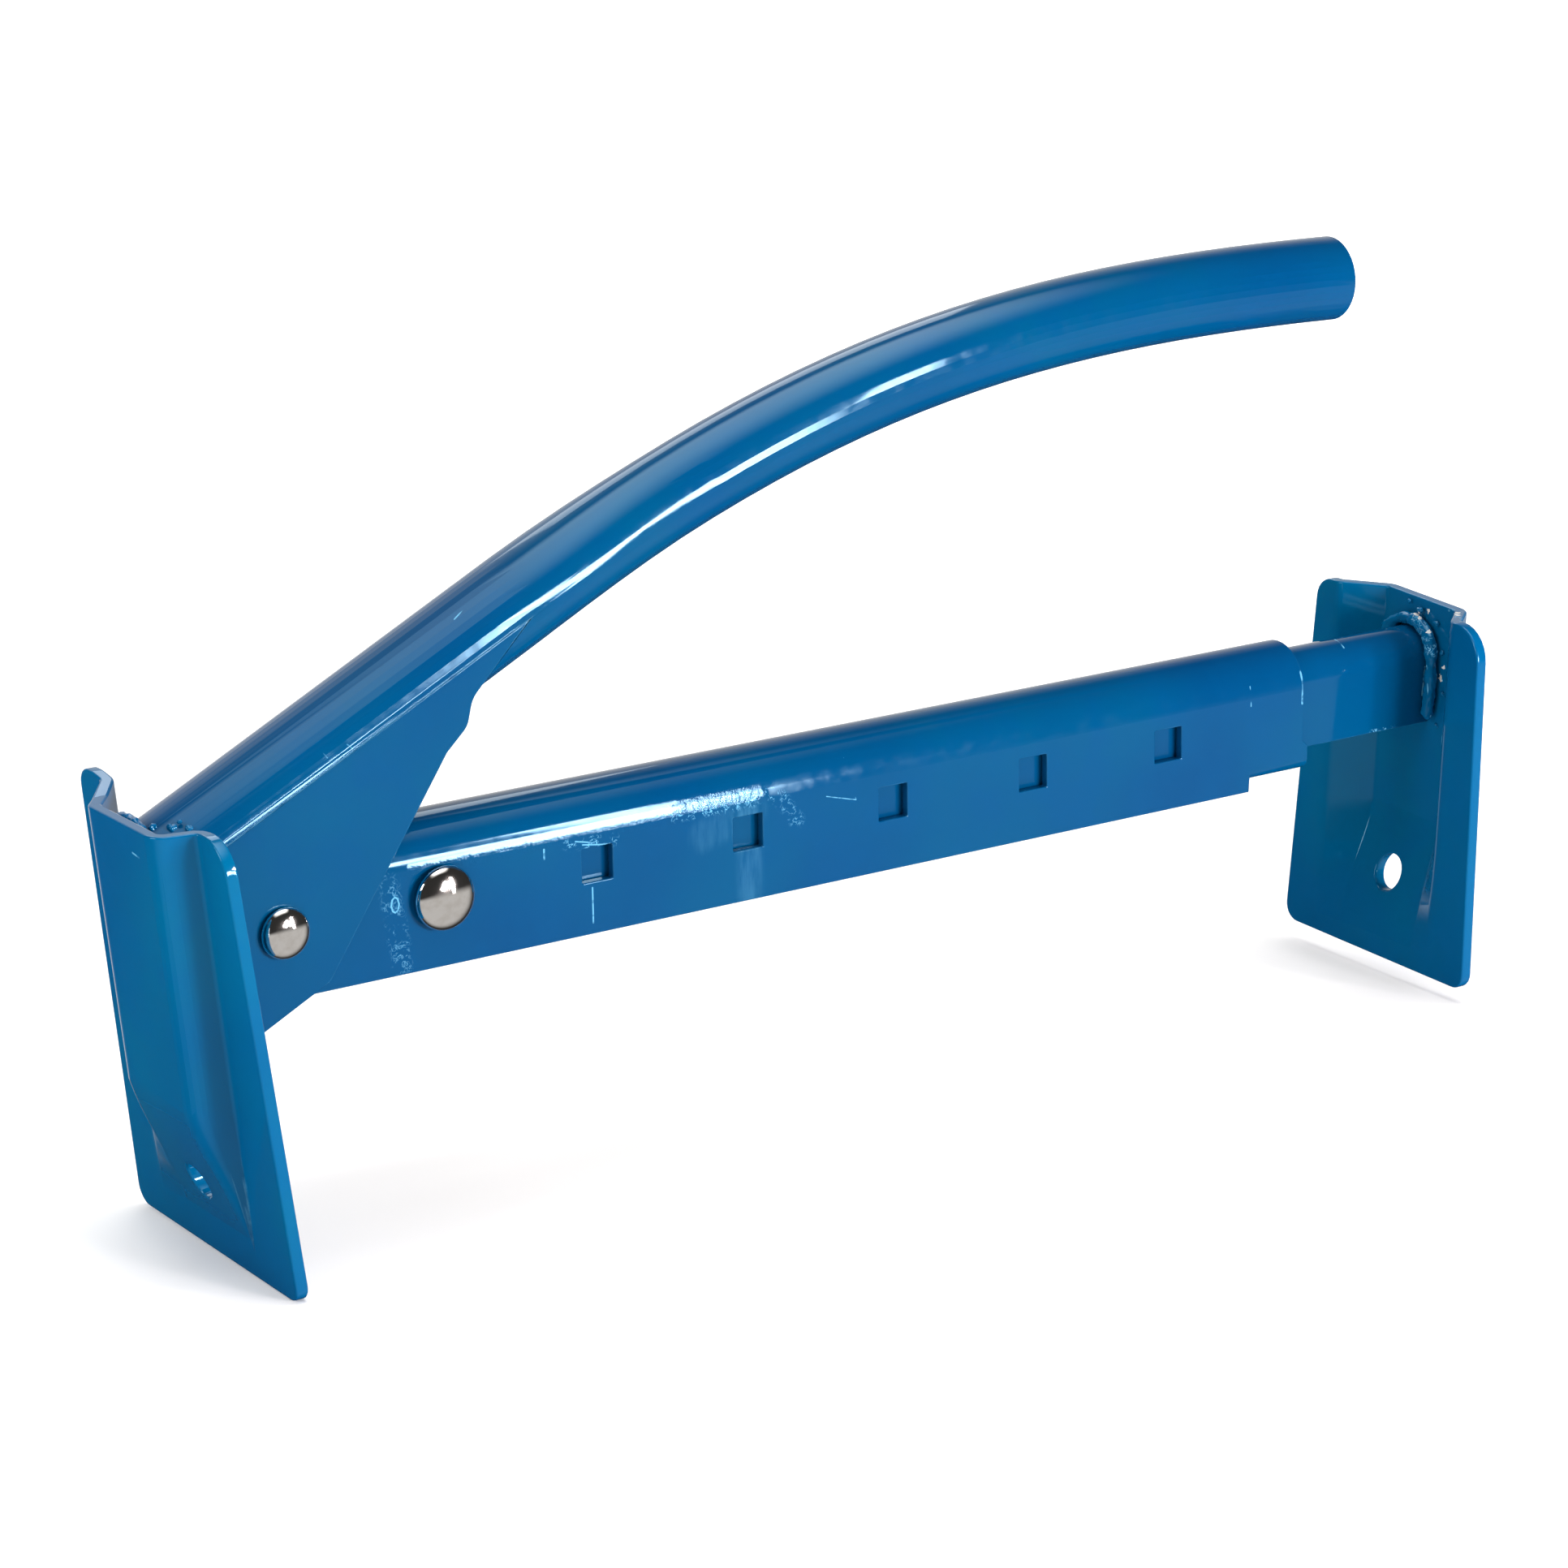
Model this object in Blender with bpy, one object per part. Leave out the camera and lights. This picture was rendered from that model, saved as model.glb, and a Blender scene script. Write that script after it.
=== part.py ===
"""Adjustable brick tongs: a channel with square holes, a bar that slides in it,
a pressed jaw at each end and a bent tube handle that swings the left jaw.

x runs along the bar towards the right jaw, y runs to the far side, z is up.
While building, x = 0 is the adjuster bolt, y = 0 the middle of the channel and z = 0 the left
jaw's foot. The last step moves the origin to the middle of the part's footprint.
Lengths below are in millimetres and become metres when a mesh is made.
"""
import math

import bpy
from mathutils import Vector

MM = 0.001
GAP = 0.3                     # left between neighbouring solids

# driving dimensions
PITCH = 54.0                  # between two square holes
ROW_Z = 99.2                  # height of the hole row above the left foot
HOLE = 10.8                   # side of a square hole
CH_HALF = 13.5                # half the channel's width, and its arch radius
CH_WALL = 3.0
CH_ARCH_Z = ROW_Z + 9.7       # centre of the arch
CH_BOTTOM = ROW_Z - 21.8
CH_LEFT = -PITCH - 15.0
CH_STEP = 303.6               # where the collar starts
CH_RIGHT = 326.0
COLLAR_BOTTOM = ROW_Z - 18.0
COLLAR_LIP = 2.0              # the collar's foot stands out this far

BAR_HALF = 10.0               # inner bar
BAR_WALL = 3.0
BAR_BOTTOM = ROW_Z - 11.8
BAR_LEFT = -14.0
SLOT = 8.8                    # open slot for the adjuster bolt

PIVOT = Vector((-PITCH, 0.0, ROW_Z))
TUBE_R = 13.6
TUBE_WALL = 2.5
FORK_HALF = 16.4              # outer half-width over the cheeks
FORK_WALL = 2.5
FORK_RISE = 13.9              # height of the rounded back above the axis
LOW_ANGLE = math.radians(26.5)
TOP_ANGLE = math.radians(-2.2)
BEND_START = (37.1, ROW_Z + 82.4)
BEND_END = (345.2, ROW_Z + 141.8)
BEND_PULL = (123.5, 118.5)    # handles of the bend's curve

JAW_T = 4.0

# Each jaw. top and foot give x and z of its flat middle plane. near and far are the half-widths
# at top and foot, corners the radii at the top. rise lifts the far corner, from the first y of
# shoulder to the second, and slope is how far the foot's far end stands over its near end. out is
# the way the middle is pressed, by depth. floor, fold and turn are the pressed floor's reach from
# y = middle, the radius of its folds and their angle, each on the near and the far side. ramp is
# where the floor starts to run back to the plane and ends. hole gives y, z and the diameter.
LEFT = dict(name="left_jaw", top=(-84.9, ROW_Z + 39.3), foot=(-71.6, ROW_Z - 98.3),
            near=(44.5, 53.3), far=(44.8, 46.9), corners=(6.0, 11.0), rise=2.5, slope=1.0,
            shoulder=(19.0, 36.0), out=-1.0, depth=13.1, middle=-4.0, floor=(19.1, 14.5),
            fold=(4.0, 5.0), turn=(80.0, 37.0), ramp=(ROW_Z - 45.0, ROW_Z - 86.0),
            hole=(-5.5, ROW_Z - 74.0, 11.2))
RIGHT = dict(name="right_jaw", top=(376.2, ROW_Z + 28.1), foot=(368.8, ROW_Z - 92.9),
             near=(44.3, 48.2), far=(38.5, 44.8), corners=(7.0, 12.0), rise=2.1, slope=2.0,
             shoulder=(-21.0, 28.0), out=1.0, depth=11.2, middle=-2.0, floor=(16.3, 15.8),
             fold=(4.5, 4.5), turn=(48.0, 40.0), ramp=(ROW_Z - 46.0, ROW_Z - 86.0),
             hole=(-1.1, ROW_Z - 65.5, 12.0))


def clear_scene():
    for ob in list(bpy.data.objects):
        bpy.data.objects.remove(ob, do_unlink=True)


def material(name, rgb, metallic, rough):
    mat = bpy.data.materials.new(name)
    mat.use_nodes = True
    mat.diffuse_color = (*rgb, 1.0)
    node = mat.node_tree.nodes["Principled BSDF"]
    node.inputs["Base Color"].default_value = (*rgb, 1.0)
    node.inputs["Metallic"].default_value = metallic
    node.inputs["Roughness"].default_value = rough
    return mat


def make(name, points, faces, mat=None):
    """One mesh object from points in millimetres."""
    mesh = bpy.data.meshes.new(name)
    mesh.from_pydata([tuple(c * MM for c in p) for p in points], [], faces)
    mesh.validate()
    mesh.update()
    ob = bpy.data.objects.new(name, mesh)
    bpy.context.scene.collection.objects.link(ob)
    if mat is not None:
        mesh.materials.append(mat)
    else:
        ob.hide_render = True
        ob.display_type = "WIRE"
    return ob


def skin(rings, cap=True, closed=False):
    """Quads between rings of equal length; n-gon caps, or a closed loop of rings."""
    count = len(rings[0])
    faces = []
    last = len(rings) if closed else len(rings) - 1
    for i in range(last):
        a = i * count
        b = ((i + 1) % len(rings)) * count
        for j in range(count):
            k = (j + 1) % count
            faces.append((a + j, a + k, b + k, b + j))
    if cap and not closed:
        faces.append(tuple(reversed(range(count))))
        faces.append(tuple((len(rings) - 1) * count + j for j in range(count)))
    return faces


def outward(ob):
    """Turns the faces outwards."""
    import bmesh
    bm = bmesh.new()
    bm.from_mesh(ob.data)
    bmesh.ops.remove_doubles(bm, verts=bm.verts, dist=1e-7)
    bmesh.ops.recalc_face_normals(bm, faces=bm.faces)
    if bm.calc_volume(signed=True) < 0:
        bmesh.ops.reverse_faces(bm, faces=bm.faces)
    bm.to_mesh(ob.data)
    bm.free()
    return ob


def loft(name, rings, mat=None):
    points = [p for ring in rings for p in ring]
    return outward(make(name, points, skin(rings), mat))


def boolean(target, tool, operation):
    """Applies one exact Boolean and drops the tool."""
    mod = target.modifiers.new("cut", "BOOLEAN")
    mod.operation = operation
    mod.solver = "EXACT"
    mod.object = tool
    graph = bpy.context.evaluated_depsgraph_get()
    mesh = bpy.data.meshes.new_from_object(target.evaluated_get(graph))
    target.modifiers.remove(mod)
    old = target.data
    target.data = mesh
    mesh.name = target.name
    bpy.data.meshes.remove(old)
    bpy.data.objects.remove(tool, do_unlink=True)
    return target


def arc(cy, cz, radius, start, end, count, rise=None):
    """Points of an arc in degrees; rise gives an ellipse its own height."""
    high = radius if rise is None else rise
    out = []
    for i in range(count + 1):
        a = math.radians(start + (end - start) * i / count)
        out.append((cy + radius * math.cos(a), cz + high * math.sin(a)))
    return out


def fillet(corners, radii, count=6):
    """A closed outline with its corners rounded."""
    out = []
    total = len(corners)
    for i, corner in enumerate(corners):
        radius = radii[i]
        here = Vector(corner)
        if radius <= 0:
            out.append(tuple(here))
            continue
        to_prev = (Vector(corners[i - 1]) - here).normalized()
        to_next = (Vector(corners[(i + 1) % total]) - here).normalized()
        half = to_prev.angle(to_next) / 2
        back = radius / math.tan(half)
        centre = here + (to_prev + to_next).normalized() * (radius / math.sin(half))
        a = here + to_prev * back - centre
        b = here + to_next * back - centre
        for k in range(count + 1):
            out.append(tuple(centre + a.slerp(b, k / count).normalized() * radius))
    return out


def extrude_x(name, outline, x0, x1, mat=None):
    return loft(name, [[(x0, y, z) for y, z in outline], [(x1, y, z) for y, z in outline]], mat)


def extrude_y(name, outline, y0, y1, mat=None):
    return loft(name, [[(x, y0, z) for x, z in outline], [(x, y1, z) for x, z in outline]], mat)


def u_section(half, wall, arch_z, bottom, count=18):
    """Inverted U with an arched back, as one closed outline."""
    outer = [(half, bottom)] + arc(0, arch_z, half, 0, 180, count) + [(-half, bottom)]
    inner = arc(0, arch_z, half - wall, 180, 0, count)
    return outer + [(-half + wall, bottom)] + inner + [(half - wall, bottom)]


def box_tool(x, y, z):
    """A cutting box from three (low, high) ranges."""
    outline = [(y[0], z[0]), (y[1], z[0]), (y[1], z[1]), (y[0], z[1])]
    return extrude_x("tool", outline, x[0], x[1])


def rod_y(name, radii, x, z, count=32, mat=None, turn=0.0):
    """A turned piece along y from (y, radius) stations."""
    rings = []
    for y, radius in radii:
        ring = []
        for i in range(count):
            a = math.radians(turn) + 2 * math.pi * i / count
            ring.append((x + radius * math.cos(a), y, z + radius * math.sin(a)))
        rings.append(ring)
    return loft(name, rings, mat)


# the channel and the bar

def collar_loop(half, radius, bottom, count=18):
    """Closed section of the collar: arched back, rounded lower corners."""
    low = bottom + radius
    loop = arc(0, CH_ARCH_Z, half, 0, 180, count)
    loop += [(-half, ROW_Z - 8.0), (-half, ROW_Z - 10.0)]
    loop += arc(-half + radius, low, radius, 180, 270, 4)
    loop += arc(half - radius, low, radius, 270, 360, 4)
    loop += [(half, ROW_Z - 10.0), (half, ROW_Z - 8.0)]
    return loop


def lip(z):
    return CH_RIGHT + (COLLAR_LIP if z < ROW_Z - 9.0 else 0.0)


def outer_channel(mat):
    section = u_section(CH_HALF, CH_WALL, CH_ARCH_Z, CH_BOTTOM)
    channel = extrude_x("outer_channel", section, CH_LEFT, CH_STEP, mat)
    outer = collar_loop(CH_HALF, 3.4, COLLAR_BOTTOM)
    inner = collar_loop(CH_HALF - CH_WALL, 0.8, COLLAR_BOTTOM + CH_WALL)
    rings = [[(CH_STEP - 1.0, y, z) for y, z in outer], [(lip(z), y, z) for y, z in outer],
             [(lip(z), y, z) for y, z in inner], [(CH_STEP - 1.0, y, z) for y, z in inner]]
    points = [p for ring in rings for p in ring]
    collar = outward(make("tool", points, skin(rings, closed=True)))
    boolean(channel, collar, "UNION")
    seam = ((CH_STEP - 3, CH_RIGHT + 9), (-0.4, 0.4), (COLLAR_BOTTOM - 2, COLLAR_BOTTOM + 5))
    boolean(channel, box_tool(*seam), "DIFFERENCE")
    for k in range(-1, 6):
        side = (k * PITCH - HOLE / 2, k * PITCH + HOLE / 2)
        tall = (ROW_Z - HOLE / 2, ROW_Z + HOLE / 2)
        boolean(channel, box_tool(side, (-20, 20), tall), "DIFFERENCE")
    return channel


def recess_x(jaw, z, face):
    """x of the pressed floor at height z; face is +1 outside, -1 inside."""
    share = (z - jaw["foot"][1]) / (jaw["top"][1] - jaw["foot"][1])
    middle = jaw["foot"][0] + (jaw["top"][0] - jaw["foot"][0]) * share
    return middle + jaw["out"] * (jaw["depth"] + face * JAW_T / 2)


def inner_bar(mat):
    section = u_section(BAR_HALF, BAR_WALL, CH_ARCH_Z, BAR_BOTTOM)
    near = [(BAR_LEFT, y, z) for y, z in section]
    far = [(recess_x(RIGHT, z, -1) - GAP, y, z) for y, z in section]
    bar = loft("inner_bar", [near, far], mat)
    outline = arc(0, ROW_Z, SLOT / 2, -90, 90, 10)
    outline += [(BAR_LEFT - 5, ROW_Z + SLOT / 2), (BAR_LEFT - 5, ROW_Z - SLOT / 2)]
    return boolean(bar, extrude_y("tool", outline, -20, 20), "DIFFERENCE")


# the handle

def bend(t):
    """The curved part of the handle's axis: position and direction at t."""
    a = Vector(BEND_START)
    d = Vector(BEND_END)
    b = a + BEND_PULL[0] * Vector((math.cos(LOW_ANGLE), math.sin(LOW_ANGLE)))
    c = d - BEND_PULL[1] * Vector((math.cos(TOP_ANGLE), math.sin(TOP_ANGLE)))
    s = 1 - t
    place = s ** 3 * a + 3 * s * s * t * b + 3 * s * t * t * c + t ** 3 * d
    slope = s * s * (b - a) + 2 * s * t * (c - b) + t * t * (d - c)
    return place, slope.normalized()


def smooth(value, low, high):
    t = min(max((value - low) / (high - low), 0.0), 1.0)
    return t * t * (3 - 2 * t)


def axis_z(x):
    """Height of the handle's axis on its straight low part."""
    return BEND_START[1] + (x - BEND_START[0]) * math.tan(LOW_ANGLE)


def handle_rod(name, inset, overrun, mat=None, count=40):
    """Solid along the handle's axis; inset shrinks it for the bore."""
    slope = Vector((math.cos(LOW_ANGLE), math.sin(LOW_ANGLE)))
    backs = (165.0 + overrun, 60.0, 30.0, 15.0)
    stations = [(Vector(BEND_START) - slope * back, slope) for back in backs]
    stations += [bend(i / 26) for i in range(27)]
    if overrun:
        stations.append((stations[-1][0] + stations[-1][1] * overrun, stations[-1][1]))
    rings = []
    for place, way in stations:
        flare = 1 - smooth(place.x, 35.0, 95.0)
        wide = TUBE_R + (FORK_HALF - 0.06 - TUBE_R) * flare - inset
        high = TUBE_R + (FORK_RISE - TUBE_R) * flare - inset
        up = Vector((-way.y, way.x))
        ring = []
        for j in range(count):
            a = 2 * math.pi * j / count
            p = place + up * (high * math.sin(a))
            ring.append((p.x, wide * math.cos(a), p.y))
        rings.append(ring)
    return loft(name, rings, mat)


def cheek_outline():
    """Side view of the fork's cheeks, from the axis down to the open edge."""
    toe = (-39.3, ROW_Z - 18.0)
    left = -112.0
    low = toe[1] + (left - toe[0]) * math.tan(LOW_ANGLE)
    corners = [(left, axis_z(left) + 0.4), (32.0, axis_z(32.0) + 0.4), (11.3, ROW_Z + 59.0),
               (9.4, ROW_Z + 51.0), (2.2, ROW_Z + 44.2), toe, (left, low)]
    return fillet(corners, [0, 0, 9.0, 7.0, 0, 5.0, 0], 5)


def throat_outline():
    """The space between the cheeks, open downwards."""
    left = -120.0
    corners = [(left, axis_z(left) + 0.9), (30.5, axis_z(30.5) + 0.9), (11.3, ROW_Z + 59.4),
               (9.7, ROW_Z + 51.0), (9.7, ROW_Z - 90.0), (left, ROW_Z - 90.0)]
    return fillet(corners, [0, 0, 9.0, 0, 0, 0], 5)


def jaw_side_tool():
    """Everything beyond the left jaw's pressed inner face."""
    below, low, high = ROW_Z - 80.0, ROW_Z - 43.5, ROW_Z + 60.0
    columns = jaw_columns(LEFT)
    rings = []
    for c, (y, _) in enumerate(columns):
        if abs(y) < 30.0:
            edge = [jaw_face(LEFT, columns, c, z, JAW_T / 2 + GAP) for z in (low, high)]
            beyond = [(-170.0, edge[1].y, high), (-170.0, edge[0].y, below)]
            rings.append(edge + beyond + [(edge[0].x, edge[0].y, below)])
    return loft("tool", rings)


def handle(mat):
    body = handle_rod("handle", 0.0, 0.0, mat)
    boolean(body, extrude_y("tool", cheek_outline(), -FORK_HALF, FORK_HALF), "UNION")
    boolean(body, handle_rod("tool", TUBE_WALL, 6.0), "DIFFERENCE")
    inner = FORK_HALF - FORK_WALL
    boolean(body, extrude_y("tool", throat_outline(), -inner, inner), "DIFFERENCE")
    boolean(body, jaw_side_tool(), "DIFFERENCE")
    square = ((PIVOT.x - 3.3, PIVOT.x + 3.3), (-20, -10), (ROW_Z - 3.3, ROW_Z + 3.3))
    boolean(body, box_tool(*square), "DIFFERENCE")
    return boolean(body, rod_y("tool", [(10, 3.4), (20, 3.4)], PIVOT.x, PIVOT.z), "DIFFERENCE")


# the jaws

def jaw_half(jaw, side):
    """Across one half of the plate: (distance from the middle, share of the pressed depth)."""
    turn = math.radians(jaw["turn"][side])
    floor, fold, depth = jaw["floor"][side], jaw["fold"][side], jaw["depth"]
    steps = 5
    half = [(floor / 2, 1.0), (floor - 2.5, 1.0)]
    for i in range(steps + 1):
        a = turn * i / steps
        half.append((floor + fold * math.sin(a), 1 - fold * (1 - math.cos(a)) / depth))
    low = 1 - half[-1][1]
    edge = half[-1][0] + (half[-1][1] - low) * depth / math.tan(turn)
    for i in range(steps + 1):
        a = turn * (1 - i / steps)
        reach = fold * (math.sin(turn) - math.sin(a))
        half.append((edge + reach, low * (1 - math.cos(a)) / (1 - math.cos(turn))))
    edge = half[-1][0]
    return half + [(edge + 2.5, 0.0), (max(edge + 6.0, 42.0), 0.0), (66.0, 0.0)]


def jaw_columns(jaw):
    """Across the whole plate: (y, share of the pressed depth), with round folds."""
    near, far = jaw_half(jaw, 0), jaw_half(jaw, 1)
    columns = [(-y, d) for y, d in near[::-1]] + [(0.0, 1.0)] + far
    return [(y + jaw["middle"], d) for y, d in columns]


def run_out(jaw, z):
    """Share of the depth left at height z: a straight ramp with soft ends."""
    high, low = jaw["ramp"]
    t = min(max((z - low) / (high - low), 0.0), 1.0)
    return 0.65 * t + 0.35 * smooth(z, low, high)


def jaw_middle(jaw, column, z):
    """A point of the plate's middle surface."""
    y, depth = column
    share = (z - jaw["foot"][1]) / (jaw["top"][1] - jaw["foot"][1])
    plane = jaw["foot"][0] + (jaw["top"][0] - jaw["foot"][0]) * share
    return Vector((plane + jaw["out"] * jaw["depth"] * depth * run_out(jaw, z), y, z))


def jaw_face(jaw, columns, c, z, away):
    """A point of the plate's face towards +x, or of a layer this far away from its middle."""
    before, after = columns[max(c - 1, 0)], columns[min(c + 1, len(columns) - 1)]
    across = jaw_middle(jaw, after, z) - jaw_middle(jaw, before, z)
    upward = jaw_middle(jaw, columns[c], z + 0.3) - jaw_middle(jaw, columns[c], z - 0.3)
    return jaw_middle(jaw, columns[c], z) + across.cross(upward).normalized() * away


def jaw_rows(jaw):
    high, low = jaw["ramp"]
    rows = [jaw["foot"][1] - 6.0, low - 2.0]
    rows += [low + (high - low) * i / 10 for i in range(11)] + [high + 2.0]
    rows += [ROW_Z - 20.0, ROW_Z + 10.0, jaw["top"][1] + 8.0]
    return rows


def jaw_outline(jaw):
    """Front view of the plate with its corners rounded."""
    top, foot = jaw["top"][1], jaw["foot"][1]
    tilt, rise = jaw["slope"] / 2, jaw["rise"]
    corners = [(-jaw["near"][1], foot - tilt), (jaw["far"][1], foot + tilt),
               (jaw["far"][0], top + rise), (jaw["shoulder"][1], top + rise),
               (jaw["shoulder"][0], top), (-jaw["near"][0], top)]
    return fillet(corners, [5.0, 6.0, jaw["corners"][0], 5.0, 5.0, jaw["corners"][1]], 7)


def pressed_jaw(jaw, mat):
    columns, rows = jaw_columns(jaw), jaw_rows(jaw)
    last = len(columns) - 1
    at = {}
    points = []
    for side in (1, -1):
        for r, z in enumerate(rows):
            for c in range(last + 1):
                at[side, r, c] = len(points)
                points.append(tuple(jaw_face(jaw, columns, c, z, side * JAW_T / 2)))
    faces = []
    for side in (1, -1):
        for r in range(len(rows) - 1):
            for c in range(last):
                quad = [at[side, r, c], at[side, r, c + 1], at[side, r + 1, c + 1], at[side, r + 1, c]]
                faces.append(quad if side > 0 else quad[::-1])
    top = len(rows) - 1
    rim = [(0, c) for c in range(last + 1)] + [(r, last) for r in range(1, top + 1)]
    rim += [(top, c) for c in range(last - 1, -1, -1)] + [(r, 0) for r in range(top - 1, 0, -1)]
    for (ra, ca), (rb, cb) in zip(rim, rim[1:] + rim[:1]):
        faces.append([at[1, ra, ca], at[-1, ra, ca], at[-1, rb, cb], at[1, rb, cb]])
    plate = outward(make(jaw["name"], points, faces, mat))
    middle = (jaw["top"][0] + jaw["foot"][0]) / 2
    frame = extrude_x("tool", jaw_outline(jaw), middle - 60, middle + 60)
    boolean(plate, frame, "INTERSECT")
    y, z, across = jaw["hole"]
    hole = arc(y, z, across / 2, 0, 360, 32)[:-1]
    return boolean(plate, extrude_x("tool", hole, middle - 60, middle + 60), "DIFFERENCE")


# welds, bolts and nuts

def bead(name, path, radius, mat, count=8):
    """A weld bead along a path of (x, y, z), with small ripples."""
    rings = []
    for i, place in enumerate(path):
        place = Vector(place)
        ahead = Vector(path[min(i + 1, len(path) - 1)]) - Vector(path[max(i - 1, 0)])
        ahead.normalize()
        side = ahead.cross(Vector((1, 0, 0))).normalized()
        up = side.cross(ahead)
        end = 0.55 if i in (0, len(path) - 1) else 1.0
        here = radius * end * (1.0 - 0.12 * (i % 2))
        rings.append([tuple(place + here * (side * math.cos(2 * math.pi * j / count)
                                            + up * math.sin(2 * math.pi * j / count)))
                      for j in range(count)])
    return loft(name, rings, mat)


def left_weld(mat):
    """Over the rounded back of the fork, against the jaw's pressed floor."""
    radius = 1.7
    path = []
    clear = radius + GAP + 0.1
    floor_x = recess_x(LEFT, ROW_Z + 17.0, -1)
    axis = axis_z(floor_x)
    for i in range(19):
        a = math.radians(58 + 97 * i / 18)
        y = (FORK_HALF + clear) * math.cos(a)
        z = axis + (FORK_RISE / math.cos(LOW_ANGLE) + clear + 2.2) * math.sin(a)
        path.append((recess_x(LEFT, z, -1) + clear + 0.2, y, z))
    return bead("left_jaw_weld", path, radius, mat)


def right_weld(mat):
    """Round the arched back and down both sides of the inner bar."""
    radius = 2.0
    clear = radius + GAP + 0.1
    half = BAR_HALF + clear
    side = [(half, BAR_BOTTOM + 2.0 + 4.0 * i) for i in range(5)]
    loop = side + arc(0, CH_ARCH_Z, half, 0, 180, 16) + [(-y, z) for y, z in side[::-1]]
    path = [(recess_x(RIGHT, z, -1) - clear - 0.2, y, z) for y, z in loop]
    return bead("right_jaw_weld", path, radius, mat)


def coach_bolt(name, x, seat, head_r, head_h, shank_r, neck, tip, mat):
    """Domed head outside y = seat, square neck, round shank to y = tip."""
    dome = [(seat - head_h, 0.35)]
    for i in range(1, 9):
        a = math.radians(90 * i / 8)
        dome.append((seat - head_h * math.cos(a) * 0.88 - head_h * 0.12, head_r * math.sin(a)))
    dome.append((seat, head_r * 0.985))
    bolt = rod_y(name, dome, x, ROW_Z, 48, mat)
    long = [(seat - 0.6, shank_r), (tip - 0.8, shank_r), (tip, shank_r - 0.8)]
    boolean(bolt, rod_y("tool", long, x, ROW_Z, 32), "UNION")
    half = shank_r + 0.02
    square = box_tool((x - half, x + half), (seat - 0.5, seat + neck), (ROW_Z - half, ROW_Z + half))
    return boolean(bolt, square, "UNION")


def washer(name, x, y0, thick, outer_r, inner_r, mat):
    loops = [(y0, outer_r), (y0 + thick, outer_r), (y0 + thick, inner_r), (y0, inner_r)]
    rings = []
    for y, radius in loops:
        rings.append([(x + radius * math.cos(2 * math.pi * i / 40), y,
                       ROW_Z + radius * math.sin(2 * math.pi * i / 40)) for i in range(40)])
    points = [p for ring in rings for p in ring]
    return outward(make(name, points, skin(rings, closed=True), mat))


def lock_nut(x, y0, bolt_r, mat):
    """Hexagon with a round crown that holds the insert."""
    nut = rod_y("pivot_nut", [(y0, 5.2), (y0 + 0.5, 5.77), (y0 + 4.4, 5.77), (y0 + 4.9, 5.2)],
                x, ROW_Z, 6, mat)
    boolean(nut, rod_y("tool", [(y0 + 4.0, 4.9), (y0 + 6.6, 4.6)], x, ROW_Z), "UNION")
    boolean(nut, rod_y("tool", [(y0 - 2, bolt_r), (y0 + 9, bolt_r)], x, ROW_Z), "DIFFERENCE")
    return boolean(nut, rod_y("tool", [(y0 + 4.4, 4.2), (y0 + 9, 4.2)], x, ROW_Z), "DIFFERENCE")


def wing_nut(x, y0, bolt_r, mat):
    """Hub with two raised wings and a clear bore."""
    nut = rod_y("adjuster_wing_nut", [(y0, 8.0), (y0 + 1.0, 8.4), (y0 + 9.0, 6.6)], x, ROW_Z, 40, mat)
    for sign in (1, -1):
        corners = [(4.6, 2.2), (13.5, 5.0), (19.0, 12.0), (17.5, 17.0), (13.0, 17.5), (6.6, 8.8), (4.6, 8.8)]
        outline = fillet(corners, [0, 3, 3, 2.6, 2.6, 3, 0], 4)
        near = [(x + sign * r, y0 + h, ROW_Z - 1.3) for r, h in outline]
        far = [(x + sign * r, y0 + h, ROW_Z + 1.3) for r, h in outline]
        boolean(nut, loft("tool", [near, far]), "UNION")
    return boolean(nut, rod_y("tool", [(y0 - 4, bolt_r), (y0 + 20, bolt_r)], x, ROW_Z, 40), "DIFFERENCE")


def build():
    clear_scene()
    paint = [material(n, (0.0, 0.115, 0.34), 0.0, 0.3) for n in
             ("paint_channel", "paint_bar", "paint_handle", "paint_left", "paint_right")]
    plated = material("bright_plating", (0.8, 0.79, 0.77), 1.0, 0.15)
    zinc = material("zinc_plating", (0.62, 0.63, 0.64), 1.0, 0.35)
    nylon = material("nylon", (0.06, 0.1, 0.3), 0.0, 0.5)
    outer_channel(paint[0])
    inner_bar(paint[1])
    handle(paint[2])
    pressed_jaw(LEFT, paint[3])
    pressed_jaw(RIGHT, paint[4])
    left_weld(paint[3])
    right_weld(paint[4])

    fork = FORK_HALF + GAP
    x = PIVOT.x
    coach_bolt("pivot_bolt", x, -fork - 0.6, 7.8, 3.7, 3.0, 3.2, fork + 10.6, plated)
    washer("pivot_washer", x, fork, 1.6, 6.2, 3.3, zinc)
    lock_nut(x, fork + 1.6 + GAP, 3.3, zinc)
    washer("pivot_nut_insert", x, fork + 1.6 + 2 * GAP + 4.4, 1.7, 3.9, 3.3, nylon)
    sleeve = FORK_HALF - FORK_WALL - GAP
    washer("pivot_sleeve", x, -sleeve, 2 * sleeve, 5.0, 3.4, zinc)

    seat = CH_HALF + GAP
    coach_bolt("adjuster_bolt", 0.0, -seat - 1.5, 9.9, 4.5, 4.0, 4.9, seat + 17.0, plated)
    washer("adjuster_washer", 0.0, seat, 1.6, 9.5, 4.4, zinc)
    wing_nut(0.0, seat + 1.6 + GAP, 4.3, zinc)


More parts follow.
